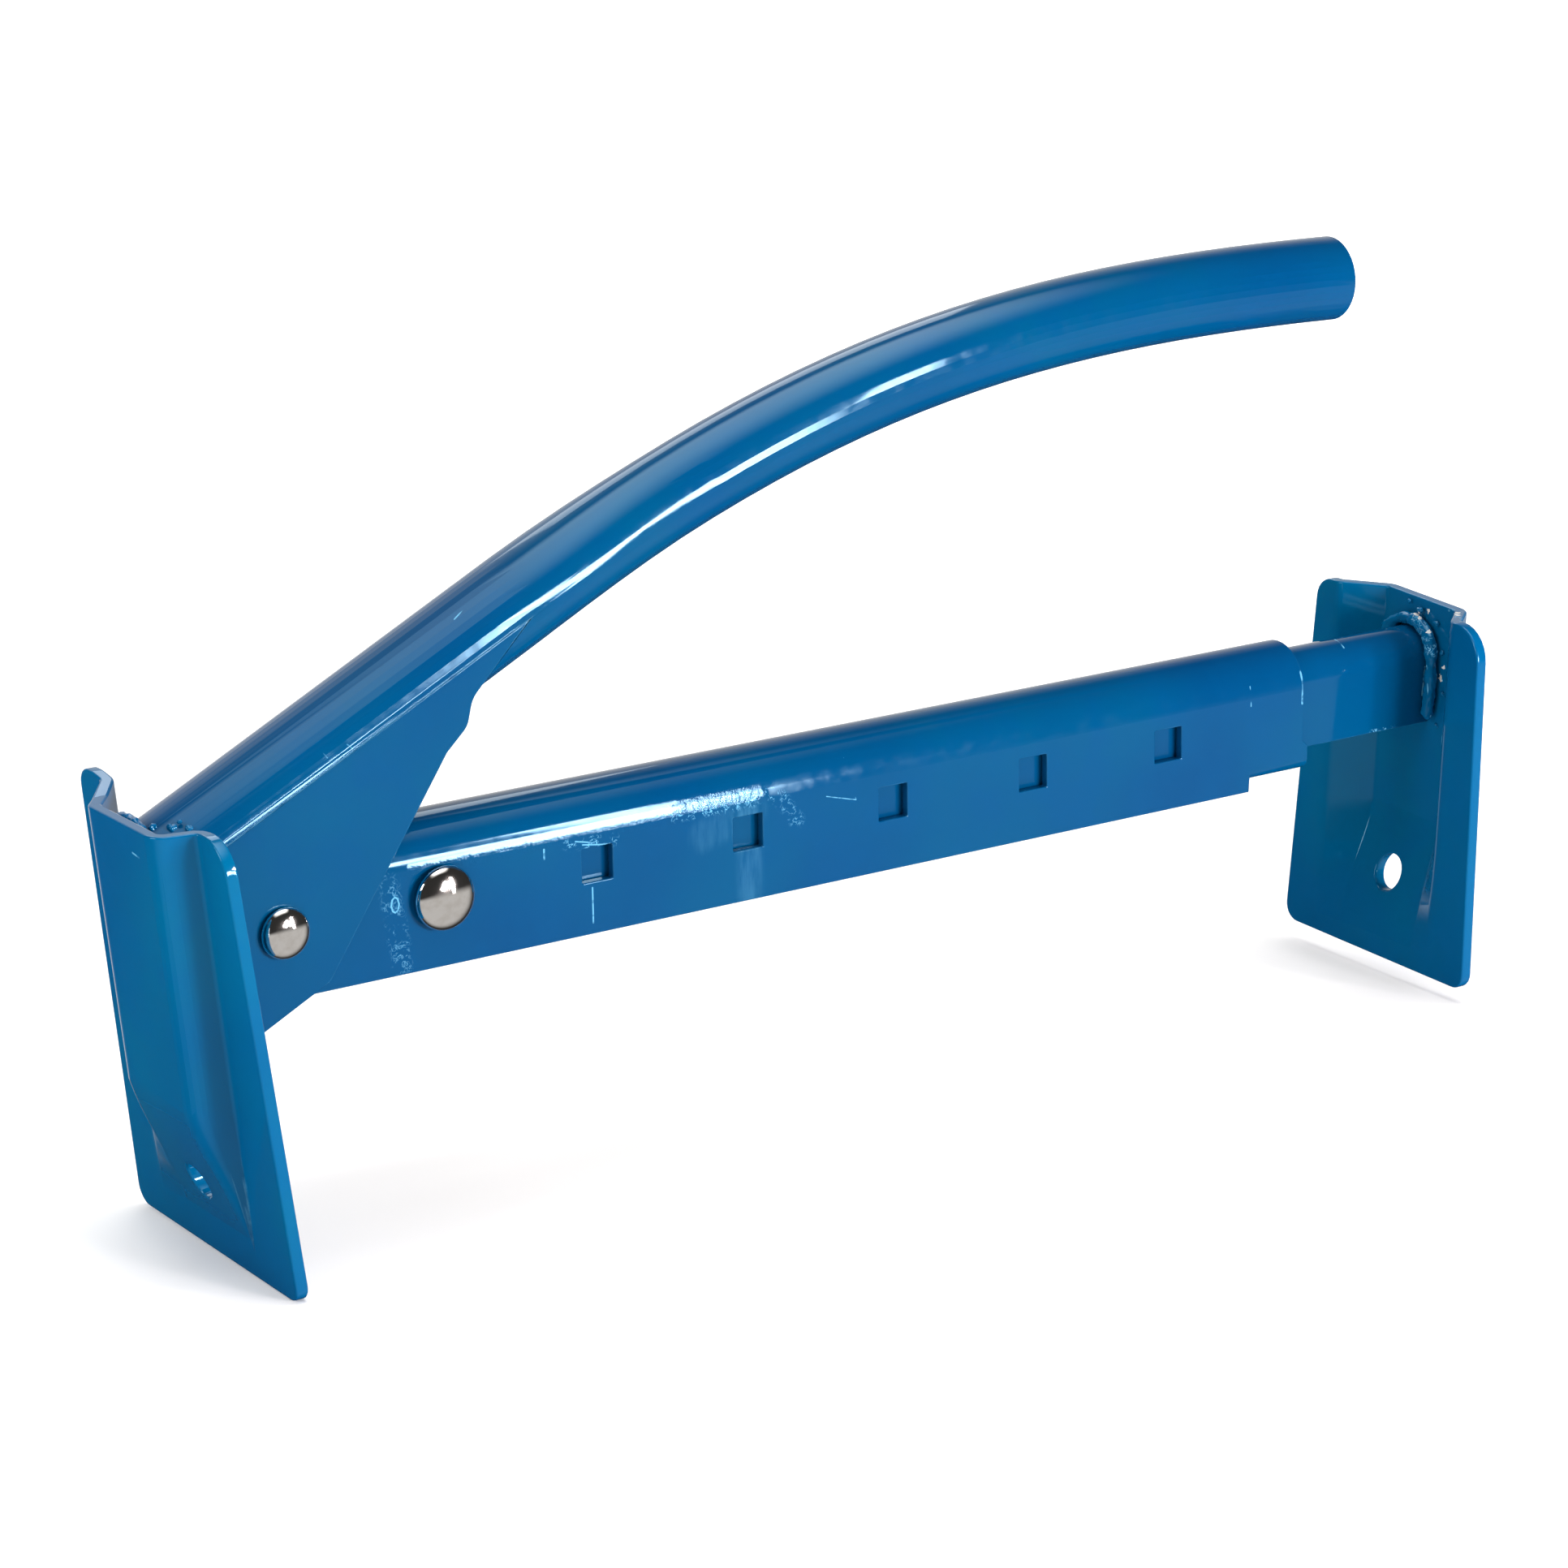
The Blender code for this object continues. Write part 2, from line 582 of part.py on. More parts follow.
def recentre():
    """Puts the origin at the middle of the part's footprint, on its lowest level."""
    solids = [ob for ob in bpy.data.objects if ob.type == "MESH"]
    points = [v.co for ob in solids for v in ob.data.vertices]
    low = Vector([min(p[i] for p in points) for i in range(3)])
    high = Vector([max(p[i] for p in points) for i in range(3)])
    shift = Vector(((low.x + high.x) / 2, (low.y + high.y) / 2, low.z))
    for ob in solids:
        for v in ob.data.vertices:
            v.co -= shift
        ob.data.update()


build()
recentre()
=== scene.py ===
"""Brick lifting tongs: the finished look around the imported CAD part.

Places are measured from the frame: x runs along the bar, y to the far side, z is up, and
spot(x, y, z) is a place in millimetres from the adjuster bolt's axis, the middle of the
channel and the level of the left jaw's foot. The bodies, boxes and meshes of the CAD nodes
come from the frame as well; the marks on the paint are placed in the same millimetres.
"""
import math

import bmesh
import bpy
from mathutils import Matrix, Vector, noise

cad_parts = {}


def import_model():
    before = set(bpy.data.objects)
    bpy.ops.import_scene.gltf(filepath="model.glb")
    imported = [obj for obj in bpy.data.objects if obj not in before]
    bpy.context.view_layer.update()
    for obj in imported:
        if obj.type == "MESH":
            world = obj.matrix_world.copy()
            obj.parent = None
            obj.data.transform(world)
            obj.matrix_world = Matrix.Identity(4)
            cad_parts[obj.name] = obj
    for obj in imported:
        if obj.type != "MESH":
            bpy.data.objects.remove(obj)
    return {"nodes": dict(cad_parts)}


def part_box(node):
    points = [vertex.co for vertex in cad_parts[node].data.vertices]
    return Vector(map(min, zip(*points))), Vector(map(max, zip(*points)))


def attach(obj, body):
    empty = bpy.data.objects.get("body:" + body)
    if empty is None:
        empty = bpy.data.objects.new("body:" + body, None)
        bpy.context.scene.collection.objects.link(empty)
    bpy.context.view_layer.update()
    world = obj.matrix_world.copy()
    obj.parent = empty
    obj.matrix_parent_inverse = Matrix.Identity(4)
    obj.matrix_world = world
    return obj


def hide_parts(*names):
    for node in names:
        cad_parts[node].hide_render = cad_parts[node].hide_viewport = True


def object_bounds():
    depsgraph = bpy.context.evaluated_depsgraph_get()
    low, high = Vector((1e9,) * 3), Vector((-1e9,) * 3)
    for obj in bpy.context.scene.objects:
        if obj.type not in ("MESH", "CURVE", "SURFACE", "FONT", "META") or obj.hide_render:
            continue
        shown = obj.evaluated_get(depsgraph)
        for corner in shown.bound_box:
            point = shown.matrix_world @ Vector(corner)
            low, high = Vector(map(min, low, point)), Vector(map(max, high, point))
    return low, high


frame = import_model()
CAD_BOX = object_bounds()
SCENE = bpy.context.scene
MM = 0.001
ROW = 99.2                    # height of the hole row over the foot, in millimetres
WELD = 2e-6                   # vertices nearer than this are one, in metres
SHEET_EDGE = 0.35             # width of the rounding on tube and sheet edges, in millimetres
PLATE_EDGE = 0.7              # the same round the jaw plates


def middle(node):
    low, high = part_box(node)
    return (low + high) / 2


ZERO = Vector((middle("adjuster_bolt").x, middle("outer_channel").y,
               middle("adjuster_bolt").z - ROW * MM))


def spot(x, y, z):
    return ZERO + Vector((x, y, z)) * MM


# meshes

def within_plane(face):
    """True where the surface carries on flat over two or more of the face's edges."""
    level = [e for e in face.edges if len(e.link_faces) == 2 and e.calc_face_angle(1.0) < 0.005]
    return len(level) >= 2


def piece(name, bm, body, slot, material, *nodes, smooth=35.0):
    """Turns a bmesh into a smooth shaded piece that rides on a body and stands for CAD nodes."""
    bmesh.ops.recalc_face_normals(bm, faces=bm.faces)
    for face in bm.faces:
        face.smooth = not within_plane(face)
    for edge in bm.edges:
        if len(edge.link_faces) == 2 and edge.calc_face_angle(0.0) > math.radians(smooth):
            edge.smooth = False
    mesh = bpy.data.meshes.new(name)
    bm.to_mesh(mesh)
    bm.free()
    mesh.materials.append(material)
    obj = bpy.data.objects.new(name, mesh)
    SCENE.collection.objects.link(obj)
    even = obj.modifiers.new("even_normals", "WEIGHTED_NORMAL")
    even.keep_sharp = True
    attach(obj, body)
    if nodes:
        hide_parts(*nodes)
    return obj


def node_copy(node):
    """A welded copy of a CAD node's mesh."""
    bm = bmesh.new()
    bm.from_mesh(frame["nodes"][node].data)
    bmesh.ops.remove_doubles(bm, verts=bm.verts, dist=WELD)
    return bm


def round_edges(bm, width, steps, angle=30.0):
    sharp = [e for e in bm.edges
             if len(e.link_faces) == 2 and e.calc_face_angle(0.0) > math.radians(angle)]
    bmesh.ops.bevel(bm, geom=sharp, offset=width * MM, segments=steps, profile=0.5,
                    affect="EDGES", clamp_overlap=False, miter_outer="ARC")
    return bm


def turned(bm, x, z, profile, count, shape=None):
    """Adds a closed turned form along y, from (y, radius) stations in millimetres."""
    rings = []
    for y, radius in profile:
        ring = []
        for i in range(count):
            a = 2 * math.pi * i / count
            r = radius if shape is None else shape(y, radius, a)
            ring.append(bm.verts.new(spot(x + r * math.cos(a), y, z + r * math.sin(a))))
        rings.append(ring)
    for one, two in zip(rings, rings[1:]):
        for i in range(count):
            k = (i + 1) % count
            bm.faces.new((one[i], one[k], two[k], two[i]))
    return rings


def capped(bm, rings):
    bm.faces.new(list(reversed(rings[0])))
    bm.faces.new(rings[-1])


def looped(bm, rings):
    """Closes a turned form on itself, as a ring with a bore."""
    count = len(rings[0])
    for i in range(count):
        k = (i + 1) % count
        bm.faces.new((rings[-1][i], rings[-1][k], rings[0][k], rings[0][i]))


def dome_profile(top, seat, radius, steps=26):
    """Stations of a domed head with a low rounded rim."""
    high = seat - top
    stations = []
    for i in range(1, steps + 1):
        a = math.radians(90 * i / steps)
        stations.append((top + high * 0.88 * (1 - math.cos(a)), radius * math.sin(a)))
    stations += [(seat - high * 0.06, radius * 0.998), (seat - high * 0.02, radius * 0.985),
                 (seat, radius * 0.96)]
    return [(top, radius * 0.012)] + stations


def thread_shape(start, end, pitch, depth):
    """Radius of a cut thread at a height and an angle."""
    def radius_at(y, radius, a):
        phase = (y / pitch - a / (2 * math.pi)) % 1.0
        groove = abs(2 * phase - 1)
        fade = min(1.0, max(0.0, (y - start) / pitch), max(0.0, (end - y) / (0.4 * pitch)))
        return radius - depth * fade * min(1.0, 1.3 * groove)
    return radius_at


def coach_bolt(name, node, body, head_radius, head, shank, neck, thread_from, pitch, steel):
    """Polished dome, square neck and a shank with a cut thread at its end."""
    low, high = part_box(node)
    top = (low.y - ZERO.y) / MM
    tip = (high.y - ZERO.y) / MM
    x = (middle(node).x - ZERO.x) / MM
    seat = top + head
    bm = bmesh.new()
    capped(bm, turned(bm, x, ROW, dome_profile(top, seat, head_radius), 96))
    side = shank * 0.995
    stations = [(seat - 0.5, side * 1.414), (seat + neck, side * 1.414)]
    rings = turned(bm, x, ROW, stations, 4)
    spin = Matrix.Rotation(math.radians(45), 4, "Y")
    centre = Matrix.Translation(spot(x, 0, ROW))
    for ring in rings:
        bmesh.ops.transform(bm, matrix=centre @ spin @ centre.inverted(), verts=ring)
    capped(bm, rings)
    steps = int((tip - thread_from) / pitch * 10)
    plain = [(seat - 0.4, shank), (thread_from, shank)]
    cut = [(thread_from + (tip - 0.7 - thread_from) * i / steps, shank) for i in range(1, steps)]
    end = [(tip - 0.6, shank * 0.9), (tip - 0.15, shank * 0.78), (tip, shank * 0.7)]
    shape = thread_shape(thread_from, tip - 0.6, pitch, pitch * 0.5)
    capped(bm, turned(bm, x, ROW, plain + cut + end, 40, shape))
    piece(name, bm, body, "bright_plating", steel, node)


def washer(name, node, body, bore, slot, material, edge=0.25):
    """A washer, sleeve or ring with rounded edges."""
    low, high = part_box(node)
    x = (middle(node).x - ZERO.x) / MM
    z = (middle(node).z - ZERO.z) / MM
    y0, y1 = (low.y - ZERO.y) / MM, (high.y - ZERO.y) / MM
    outer = (high.x - low.x) / 2 / MM
    bm = bmesh.new()
    profile = [(y0, bore + edge), (y0, outer - edge), (y0 + edge * 0.3, outer - edge * 0.3),
               (y0 + edge, outer), (y1 - edge, outer), (y1 - edge * 0.3, outer - edge * 0.3),
               (y1, outer - edge), (y1, bore + edge), (y1 - edge * 0.3, bore + edge * 0.3),
               (y1 - edge, bore), (y0 + edge, bore), (y0 + edge * 0.3, bore + edge * 0.3)]
    looped(bm, turned(bm, x, z, profile, 72))
    piece(name, bm, body, slot, material, node)


def hexagon(radius, a):
    """Distance to a hexagon's side towards angle a, radius being that of its corners."""
    flat = radius * math.cos(math.radians(30))
    turn = (a + math.radians(30)) % math.radians(60) - math.radians(30)
    return flat / math.cos(math.radians(30) - abs(turn))


def lock_nut(name, node, body, bore, zinc):
    """Hexagon with chamfered corners and a rolled crown over the insert."""
    low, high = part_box(node)
    x = (middle(node).x - ZERO.x) / MM
    y0, y1 = (low.y - ZERO.y) / MM, (high.y - ZERO.y) / MM
    corner = (high.x - low.x) / 2 / MM
    flat = corner * math.cos(math.radians(30))
    crown = flat * 0.94

    def shape(y, radius, a):
        """Six-sided, but round where the profile's radius is negative."""
        if radius < 0:
            return -radius
        return min(hexagon(corner, a), radius)

    shoulder = y0 + (y1 - y0) * 0.74
    rise = (corner - flat) * 0.5
    profile = [(y0, -bore - 0.3), (y0, flat * 0.99), (y0 + rise * 0.5, flat + (corner - flat) * 0.5),
               (y0 + rise, corner), (shoulder - rise, corner),
               (shoulder - rise * 0.5, flat + (corner - flat) * 0.5), (shoulder, flat * 0.985),
               (shoulder + 0.1, -crown), (y1 - 0.7, -crown * 0.985), (y1 - 0.2, -crown * 0.93),
               (y1, -crown * 0.86), (y1 - 0.1, -bore - 0.65), (y1 - 2.0, -bore - 0.65),
               (y1 - 2.0, -bore), (y0 + 0.3, -bore)]
    bm = bmesh.new()
    looped(bm, turned(bm, x, ROW, profile, 96, shape))
    piece(name, bm, body, "zinc_plating", zinc, node)


def cast(name, node, body, slot, material, voxel, soften):
    """A CAD node with the soft corners of a casting."""
    obj = piece(name, node_copy(node), body, slot, material, node)
    obj.modifiers.clear()
    grid = obj.modifiers.new("grid", "REMESH")
    grid.mode = "VOXEL"
    grid.voxel_size = voxel * MM
    grid.use_smooth_shade = True
    smooth = obj.modifiers.new("soften", "SMOOTH")
    smooth.factor = 0.5
    smooth.iterations = soften


def blob(bm, place, radius, seed):
    """Adds a lumpy drop of spatter."""
    made = bmesh.ops.create_icosphere(bm, subdivisions=3, radius=radius * MM,
                                      matrix=Matrix.Translation(spot(*place)))
    for vert in made["verts"]:
        at = (vert.co - ZERO) / MM
        vert.co += (vert.co - spot(*place)) * noise.noise(at * 0.9 + Vector((seed, 0, 0))) * 0.5


def bead(name, node, body, slot, material, ripple, seed, drops):
    """A weld bead: the CAD bead made fine, with ripples, lumps and spatter."""
    bm = node_copy(node)
    bmesh.ops.join_triangles(bm, faces=bm.faces, angle_face_threshold=0.9,
                             angle_shape_threshold=1.2)
    bmesh.ops.subdivide_edges(bm, edges=bm.edges, cuts=3, use_grid_fill=True, smooth=0.9)
    bm.normal_update()
    shift = Vector((seed * 3.7, seed * 1.9, seed))
    for vert in bm.verts:
        at = (vert.co - ZERO) / MM
        lump = noise.noise(at * 0.22 + shift) * 0.5 + noise.noise(at * 0.9 + shift) * 0.28
        fine = noise.noise(at * 2.4 + shift) * 0.08
        vert.co += vert.normal * (lump + fine + 0.12) * ripple * MM
    for place, radius in drops:
        blob(bm, place, radius, seed)
    piece(name, bm, body, slot, material, node, smooth=80.0)


# materials

class Graph:
    """Short calls for a node material."""

    def __init__(self, name):
        self.material = bpy.data.materials.new(name)
        self.material.use_nodes = True
        self.tree = self.material.node_tree
        self.shader = self.tree.nodes["Principled BSDF"]
        self.place = self.node("ShaderNodeTexCoord").outputs["Object"]

    def node(self, kind, **values):
        made = self.tree.nodes.new(kind)
        for key, value in values.items():
            setattr(made, key, value)
        return made

    def put(self, socket, value):
        if isinstance(value, bpy.types.NodeSocket):
            self.tree.links.new(value, socket)
        else:
            socket.default_value = value

    def set(self, **values):
        for key, value in values.items():
            self.put(self.shader.inputs[key.replace("_", " ")], value)

    def noise(self, scale, detail=3.0, rough=0.5, place=None, warp=0.0):
        made = self.node("ShaderNodeTexNoise")
        self.put(made.inputs["Vector"], place or self.place)
        made.inputs["Scale"].default_value = scale
        made.inputs["Detail"].default_value = detail
        made.inputs["Roughness"].default_value = rough
        made.inputs["Distortion"].default_value = warp
        return made.outputs["Fac"]

    def stretched(self, x, y, z):
        made = self.node("ShaderNodeVectorMath", operation="MULTIPLY")
        self.put(made.inputs[0], self.place)
        made.inputs[1].default_value = (x, y, z)
        return made.outputs[0]

    def span(self, value, low, high, to_low=0.0, to_high=1.0):
        made = self.node("ShaderNodeMapRange", interpolation_type="SMOOTHSTEP")
        self.put(made.inputs["Value"], value)
        for key, number in zip(("From Min", "From Max", "To Min", "To Max"),
                               (low, high, to_low, to_high)):
            made.inputs[key].default_value = number
        return made.outputs["Result"]

    def math(self, operation, a, b=0.0):
        made = self.node("ShaderNodeMath", operation=operation)
        self.put(made.inputs[0], a)
        self.put(made.inputs[1], b)
        return made.outputs[0]

    def vector(self, operation, a, b=None):
        made = self.node("ShaderNodeVectorMath", operation=operation)
        self.put(made.inputs[0], a)
        if b is not None:
            self.put(made.inputs[1], b)
        return made.outputs["Value" if operation in ("DOT_PRODUCT", "LENGTH", "DISTANCE") else 0]

    def mix(self, share, a, b):
        made = self.node("ShaderNodeMix", data_type="RGBA")
        self.put(made.inputs["Factor"], share)
        self.put(made.inputs["A"], a)
        self.put(made.inputs["B"], b)
        return made.outputs["Result"]

    def bump(self, layers):
        """Layers of (height, strength, distance in millimetres), one on the other."""
        normal = None
        for height, strength, distance in layers:
            made = self.node("ShaderNodeBump")
            self.put(made.inputs["Height"], height)
            made.inputs["Strength"].default_value = strength
            made.inputs["Distance"].default_value = distance * MM
            if normal is not None:
                self.put(made.inputs["Normal"], normal)
            normal = made.outputs["Normal"]
        self.put(self.shader.inputs["Normal"], normal)

    def edges(self, radius):
        """1 on a rounded edge, 0 on flat faces."""
        made = self.node("ShaderNodeBevel", samples=4)
        made.inputs["Radius"].default_value = radius * MM
        plain = self.node("ShaderNodeNewGeometry").outputs["Normal"]
        return self.math("SUBTRACT", 1.0, self.vector("DOT_PRODUCT", made.outputs[0], plain))

    def scratch(self, start, end, width):
        """1 within a thin line between two places."""
        a, b = Vector(start), Vector(end)
        along = b - a
        offset = self.vector("SUBTRACT", self.place, tuple(a))
        share = self.math("DIVIDE", self.vector("DOT_PRODUCT", offset, tuple(along)),
                          along.length_squared)
        share = self.math("MINIMUM", self.math("MAXIMUM", share, 0.0), 1.0)
        made = self.node("ShaderNodeVectorMath", operation="SCALE")
        made.inputs[0].default_value = tuple(along)
        self.put(made.inputs["Scale"], share)
        gap = self.vector("DISTANCE", offset, made.outputs[0])
        return self.span(gap, width * MM, width * 0.4 * MM)

    def highest(self, values):
        out = values[0]
        for value in values[1:]:
            out = self.math("MAXIMUM", out, value)
        return out


BLUE = (0.0, 0.052, 0.158, 1.0)
BLUE_DEEP = (0.0, 0.044, 0.141, 1.0)
BLUE_TEAL = (0.0, 0.06, 0.152, 1.0)
SHEEN = (0.45, 0.8, 1.0, 1.0)        # tint of the paint's own reflection
JAW_TEAL_AND_PAINTED_LIGHT = (0.0, 1.68, 1.48)          # factor on the jaws' coat, a little greener, and lighter as painted light in place of light on the jaws' faces
PALE = (0.12, 0.4, 0.62, 1.0)        # thinned or scraped paint, also the colour of the painted sheen and edge highlights
STEEL = (0.62, 0.6, 0.57, 1.0)
STEEL_LIGHT = (0.75, 0.74, 0.72, 1.0)
THIN_AND_HIGHLIT_EDGE = 0.7                      # width of the thinned paint and painted highlight along an edge


def worn_and_highlit(g, colour, mask, amount):
    """Pales the coat where the mask is: wear, and also painted sheen and painted highlights."""
    return g.mix(g.math("MULTIPLY", mask, amount), colour, PALE)


def base_coat(g, tone):
    """Blue that drifts slowly between a deep and a greener shade."""
    drift = g.span(g.noise(9.0, 2.0), 0.35, 0.65)
    colour = g.mix(drift, BLUE_DEEP, BLUE_TEAL)
    colour = g.mix(g.span(g.noise(60.0, 4.0), 0.4, 0.7, 0.0, 0.5), colour, BLUE)
    return colour if tone is None else g.vector("MULTIPLY", colour, tone)


def pale_streaked(g, colour, pale_streaks):
    """Faint wide pale streaks; on the channel the first is a painted sheen below the second hole."""
    for start, end, width, amount in pale_streaks:
        streaks = g.span(g.noise(1.0, 4.0, 0.6, g.stretched(420.0, 300.0, 60.0)), 0.25, 0.7)
        mask = g.math("MULTIPLY", g.scratch(spot(*start), spot(*end), width), streaks)
        colour = worn_and_highlit(g, colour, mask, amount)
    return colour


def thin_paint_and_edge_highlight(g, colour):
    """Patches of thinned paint along rounded edges, partly a painted highlight on those edges."""
    thin_and_highlight = g.math("MULTIPLY", g.span(g.edges(THIN_AND_HIGHLIT_EDGE), 0.02, 0.2),
                  g.span(g.noise(140.0, 4.0), 0.35, 0.6))
    return worn_and_highlit(g, colour, thin_and_highlight, 0.3)


def scratched(g, colour, scratches):
    """Thin pale lines that come and go."""
    if not scratches:
        return colour
    lines = g.highest([g.scratch(spot(*a), spot(*b), width) for a, b, width in scratches])
    broken = g.span(g.noise(420.0, 3.0), 0.36, 0.5, 0.25, 1.0)
    return worn_and_highlit(g, colour, g.math("MULTIPLY", lines, broken), 0.8)


def scuffed(g, colour, scuffs):
    """Patches of short pale squiggles."""
    if not scuffs:
        return colour
    squiggle = g.math("ABSOLUTE", g.math("SUBTRACT", g.noise(430.0, 3.0, 0.6, warp=0.8), 0.5))
    flake = g.math("MULTIPLY", g.span(squiggle, 0.03, 0.008), g.span(g.noise(260.0, 2.0), 0.42, 0.52))
    for start, end, width, amount in scuffs:
        mask = g.math("MULTIPLY", g.scratch(spot(*start), spot(*end), width), flake)
        colour = worn_and_highlit(g, colour, mask, amount)
    return colour


def bare_spots(g, chips):
    """1 where the paint has come off down to the steel, with ragged outlines."""
    wobble = g.math("MULTIPLY", g.math("SUBTRACT", g.noise(700.0, 4.0), 0.5), 0.0035)
    found = []
    for place, radius in chips:
        gap = g.vector("DISTANCE", g.place, tuple(spot(*place)))
        found.append(g.span(g.math("ADD", gap, wobble), radius * MM, radius * 0.8 * MM))
    return g.highest(found)


def paint(name, scratches=(), chips=(), rough_patches=(), pale_streaks=(), scuffs=(), tone=None):
    """Glossy blue paint with orange peel, thinned edges with a painted highlight, marks and bare spots.
    """
    g = Graph(name)
    # pale streaks, one a painted sheen on the channel, then thinned paint with a painted highlight along
    # the edges
    colour = thin_paint_and_edge_highlight(g, pale_streaked(g, base_coat(g, tone), pale_streaks))
    colour = scuffed(g, scratched(g, colour, scratches), scuffs)
    rough = g.span(g.noise(230.0, 5.0), 0.3, 0.75, 0.05, 0.11)
    if chips:
        bare = bare_spots(g, chips)
        metal = g.mix(g.span(g.noise(900.0, 4.0), 0.45, 0.62), STEEL, STEEL_LIGHT)
        colour = g.mix(bare, colour, metal)
        rough = g.math("ADD", rough, g.math("MULTIPLY", bare, 0.3))
    g.set(Base_Color=colour, Roughness=rough, Specular_IOR_Level=0.5, Specular_Tint=SHEEN)
    layers = [(g.noise(70.0, 2.0, 0.5), 0.2, 0.1), (g.noise(330.0, 2.0, 0.4), 0.1, 0.02)]
    for start, end, width, depth in rough_patches:
        mask = g.scratch(spot(*start), spot(*end), width)
        layers.append((g.math("MULTIPLY", mask, g.noise(520.0, 4.0, 0.6)), 1.0, depth))
    g.bump(layers)
    return g.material


def bright_plating():
    """Polished plating with fine hair lines."""
    g = Graph("bright_plating")
    cloud = g.noise(300.0, 5.0)
    g.set(Base_Color=g.mix(g.span(cloud, 0.35, 0.7), (0.9, 0.87, 0.84, 1.0), (0.8, 0.76, 0.72, 1.0)),
          Metallic=1.0, Roughness=g.span(cloud, 0.3, 0.8, 0.06, 0.13))
    hair = g.noise(1.0, 2.0, 0.6, g.stretched(5200.0, 900.0, 700.0))
    g.bump([(hair, 0.03, 0.004), (g.noise(160.0, 2.0), 0.05, 0.02)])
    return g.material


def zinc_plating():
    """Dull zinc with a faint crystalline cloud and a few dark specks."""
    g = Graph("zinc_plating")
    cloud = g.noise(420.0, 5.0, 0.6)
    colour = g.mix(g.span(cloud, 0.35, 0.7), (0.56, 0.58, 0.6, 1.0), (0.68, 0.68, 0.66, 1.0))
    specks = g.span(g.noise(1600.0, 3.0), 0.66, 0.74)
    g.set(Base_Color=g.mix(g.math("MULTIPLY", specks, 0.5), colour, (0.2, 0.19, 0.17, 1.0)),
          Metallic=1.0, Roughness=g.span(cloud, 0.3, 0.75, 0.26, 0.42))
    g.bump([(g.noise(900.0, 4.0), 0.15, 0.02)])
    return g.material


def nylon():
    """Blue nylon of the locking insert."""
    g = Graph("nylon")
    cloud = g.noise(600.0, 3.0)
    g.set(Base_Color=g.mix(cloud, (0.05, 0.09, 0.28, 1.0), (0.08, 0.14, 0.36, 1.0)),
          Roughness=g.span(cloud, 0.3, 0.7, 0.42, 0.6))
    g.bump([(g.noise(1500.0, 3.0), 0.15, 0.02)])
    return g.material


# the pieces

SIDE = -13.5                  # the channel's near face


def on_side(x, z):
    return (x, SIDE, z)


# marks are (start, end, width), scuffs and pale streaks (start, end, width, strength), rough patches
# (start, end, width, depth), chips and drops (place, radius); all in millimetres
CHANNEL_MARKS = [
    (on_side(52, 92), on_side(52, 81), 0.35), (on_side(35.5, 107), on_side(35.5, 104), 0.4),
    (on_side(46.5, 107.5), on_side(53, 106), 0.3), (on_side(49, 106), on_side(58.5, 104.5), 0.3),
    ((145, -11.3, 116), on_side(148, 102.5), 0.2), (on_side(148, 102.5), on_side(137, 105.5), 0.2),
    ((304, -12.8, 113), on_side(304, 106.5), 0.25), ((325.5, -12.5, 115), on_side(325.5, 104), 0.6),
]
CHANNEL_SCUFFS = [
    (on_side(-17.5, 106), on_side(-13.5, 80.5), 4.5, 0.4),
    (on_side(44, 107), on_side(60, 105.5), 2.6, 0.9),
    (on_side(80, 110), on_side(116, 109.5), 3.6, 0.9),
    (on_side(120, 108), on_side(126, 100), 3.5, 0.5),
]
# the first streak is a painted sheen below the second hole; the second is a faint pale streak beside that
# hole
CHANNEL_PALE_STREAKS = [
    (on_side(108, 103), on_side(108.5, 80), 6.0, 0.12),
    (on_side(92, 101), on_side(110, 106), 7.0, 0.08),
]
CHANNEL_ROUGH = [
    (on_side(84, 110.5), on_side(112, 110.5), 4.0, 0.1),
    (on_side(-10, 108.5), on_side(84, 109), 2.5, 0.1),
]
HANDLE_MARKS = [
    ((10, -9.3, 181), (14, -8.3, 183), 0.3), ((-38, -15.3, 150), (-37, -15.7, 148.5), 0.25),
    ((-30.5, -16, 151.5), (-29, -16.2, 150), 0.25),
]
BAR_MARKS = [
    ((350, 0, 119), (349.5, -5.4, 117.3), 0.4), ((381, -10, 106.5), (380, -10, 97), 0.5),
]
BAR_SCUFFS = [((358, -10, 88), (368, -10, 88), 0.8, 0.9)]
LEFT_MARKS = [((-99.3, -14, 131), (-99.2, -18, 130.5), 0.4)]
LEFT_CHIPS = [((-83, -44.8, 131), 0.45)]
LEFT_DROPS = [
    ((-88, -4.6, 134), 1.2), ((-84, -8.6, 134), 1.5), ((-80, -11.4, 134), 1.2), ((-82, -10, 136), 0.7),
]
RIGHT_MARKS = [
    ((380, -12, 107.5), (382, -14, 105), 0.45), ((382, -14, 105), (384, -15.5, 102.5), 0.45),
    ((380, -12.6, 107), (379.6, -13.3, 98), 0.4), ((379.6, -13.3, 98), (380.6, -13.8, 90), 0.4),
    ((385, -17.5, 100), (377, -17.5, 42), 0.3),
]
RIGHT_CHIPS = [
    ((382.5, -3.5, 123.5), 1.2), ((382.5, -5.5, 122.5), 0.9), ((385, -6.5, 124.5), 0.6),
    ((384, -14.5, 103.5), 1.2), ((384, -15.5, 107), 0.6), ((383.5, -22, 127.3), 1.3),
    ((382, -24.5, 127.2), 0.9), ((381.5, -10.5, 119), 0.7),
]
RIGHT_SCUFFS = [
    ((383, -1, 125), (381.5, -13.5, 113), 3.2, 1.0), ((385, -17, 127), (377, -33, 127), 1.6, 0.8),
]
